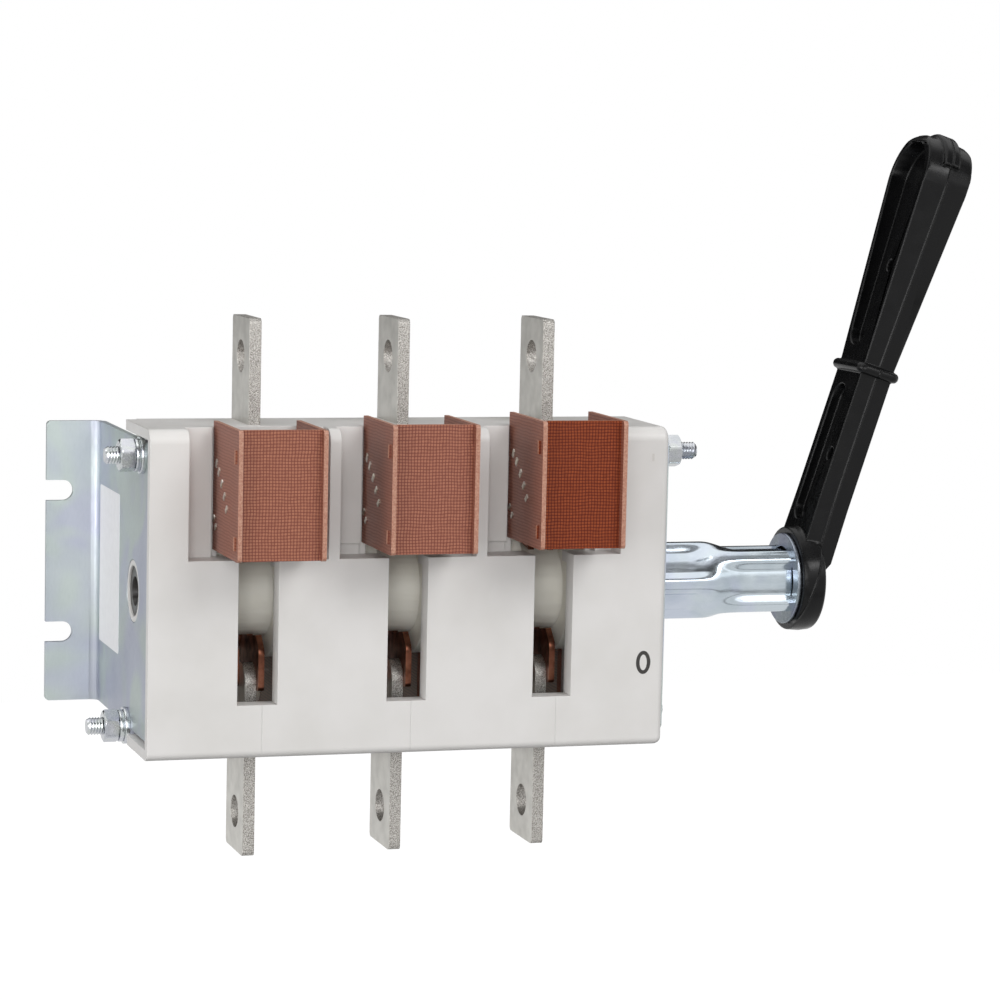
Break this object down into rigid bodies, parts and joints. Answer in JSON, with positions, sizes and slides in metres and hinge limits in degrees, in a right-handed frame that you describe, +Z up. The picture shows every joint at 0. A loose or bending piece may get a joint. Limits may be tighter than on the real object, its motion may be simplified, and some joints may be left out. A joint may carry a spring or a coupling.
{
  "type": "switch disconnector",
  "caption": "Open knife switch disconnector for a panel: moulded body, arc chutes, tinned terminal bars and a side lever on a crimped drive tube.",
  "frame": {"origin": "centre of the four panel fixing slots, on the panel face", "axes": "+X along the shaft towards the handle, +Y into the panel, +Z up"},
  "size_m": [0.3157, 0.1235, 0.2462],
  "materials": {
    "grey_moulding": "satin moulded",
    "cream_moulding": "satin moulded",
    "black_moulding": "satin moulded",
    "zinc_sheet": "blue zinc plating",
    "zinc_fasteners": "blue zinc plating",
    "tinned_copper": "matt tin plating",
    "bare_copper": "bare copper",
    "laminate": "woven fibre laminate",
    "steel_splitters": "zinc plated"
  },
  "bodies": {
    "frame": {"left_end_housing": "grey_moulding", "middle_housing_left": "grey_moulding", "middle_housing_right": "grey_moulding", "right_end_housing": "grey_moulding", "left_mounting_bracket": "zinc_sheet", "right_mounting_bracket": "zinc_sheet", "tie_studs": "zinc_fasteners", "flat_washers": "zinc_fasteners", "spring_washers": "zinc_fasteners", "tie_nuts": "zinc_fasteners", "upper_terminal_one": "tinned_copper", "upper_terminal_two": "tinned_copper", "upper_terminal_three": "tinned_copper", "lower_terminal_one": "tinned_copper", "lower_terminal_two": "tinned_copper", "lower_terminal_three": "tinned_copper", "rear_left_plate_one": "laminate", "rear_right_plate_one": "laminate", "rear_end_plate_one": "laminate", "rear_splitter_plates_one": "steel_splitters", "rear_left_plate_two": "laminate", "rear_right_plate_two": "laminate", "rear_end_plate_two": "laminate", "rear_splitter_plates_two": "steel_splitters", "rear_left_plate_three": "laminate", "rear_right_plate_three": "laminate", "rear_end_plate_three": "laminate", "rear_splitter_plates_three": "steel_splitters", "chute_left_plate_one": "laminate", "chute_right_plate_one": "laminate", "chute_front_plate_one": "laminate", "splitter_plates_one": "steel_splitters", "chute_left_plate_two": "laminate", "chute_right_plate_two": "laminate", "chute_front_plate_two": "laminate", "splitter_plates_two": "steel_splitters", "chute_left_plate_three": "laminate", "chute_right_plate_three": "laminate", "chute_front_plate_three": "laminate", "splitter_plates_three": "steel_splitters"},
    "rotor": {"insulating_drum_one": "cream_moulding", "insulating_drum_two": "cream_moulding", "insulating_drum_three": "cream_moulding", "knife_pair_one": "bare_copper", "knife_pair_two": "bare_copper", "knife_pair_three": "bare_copper", "drive_tube": "zinc_sheet", "handle_disc": "zinc_fasteners", "handle_lever": "black_moulding"}
  },
  "joints": [
    {"name": "shaft_turn", "type": "hinge", "parent": "frame", "child": "rotor", "pos_m": [0, -0.064, -0.0023], "axis": [1, 0, 0], "range_deg": [0, 90]}
  ]
}
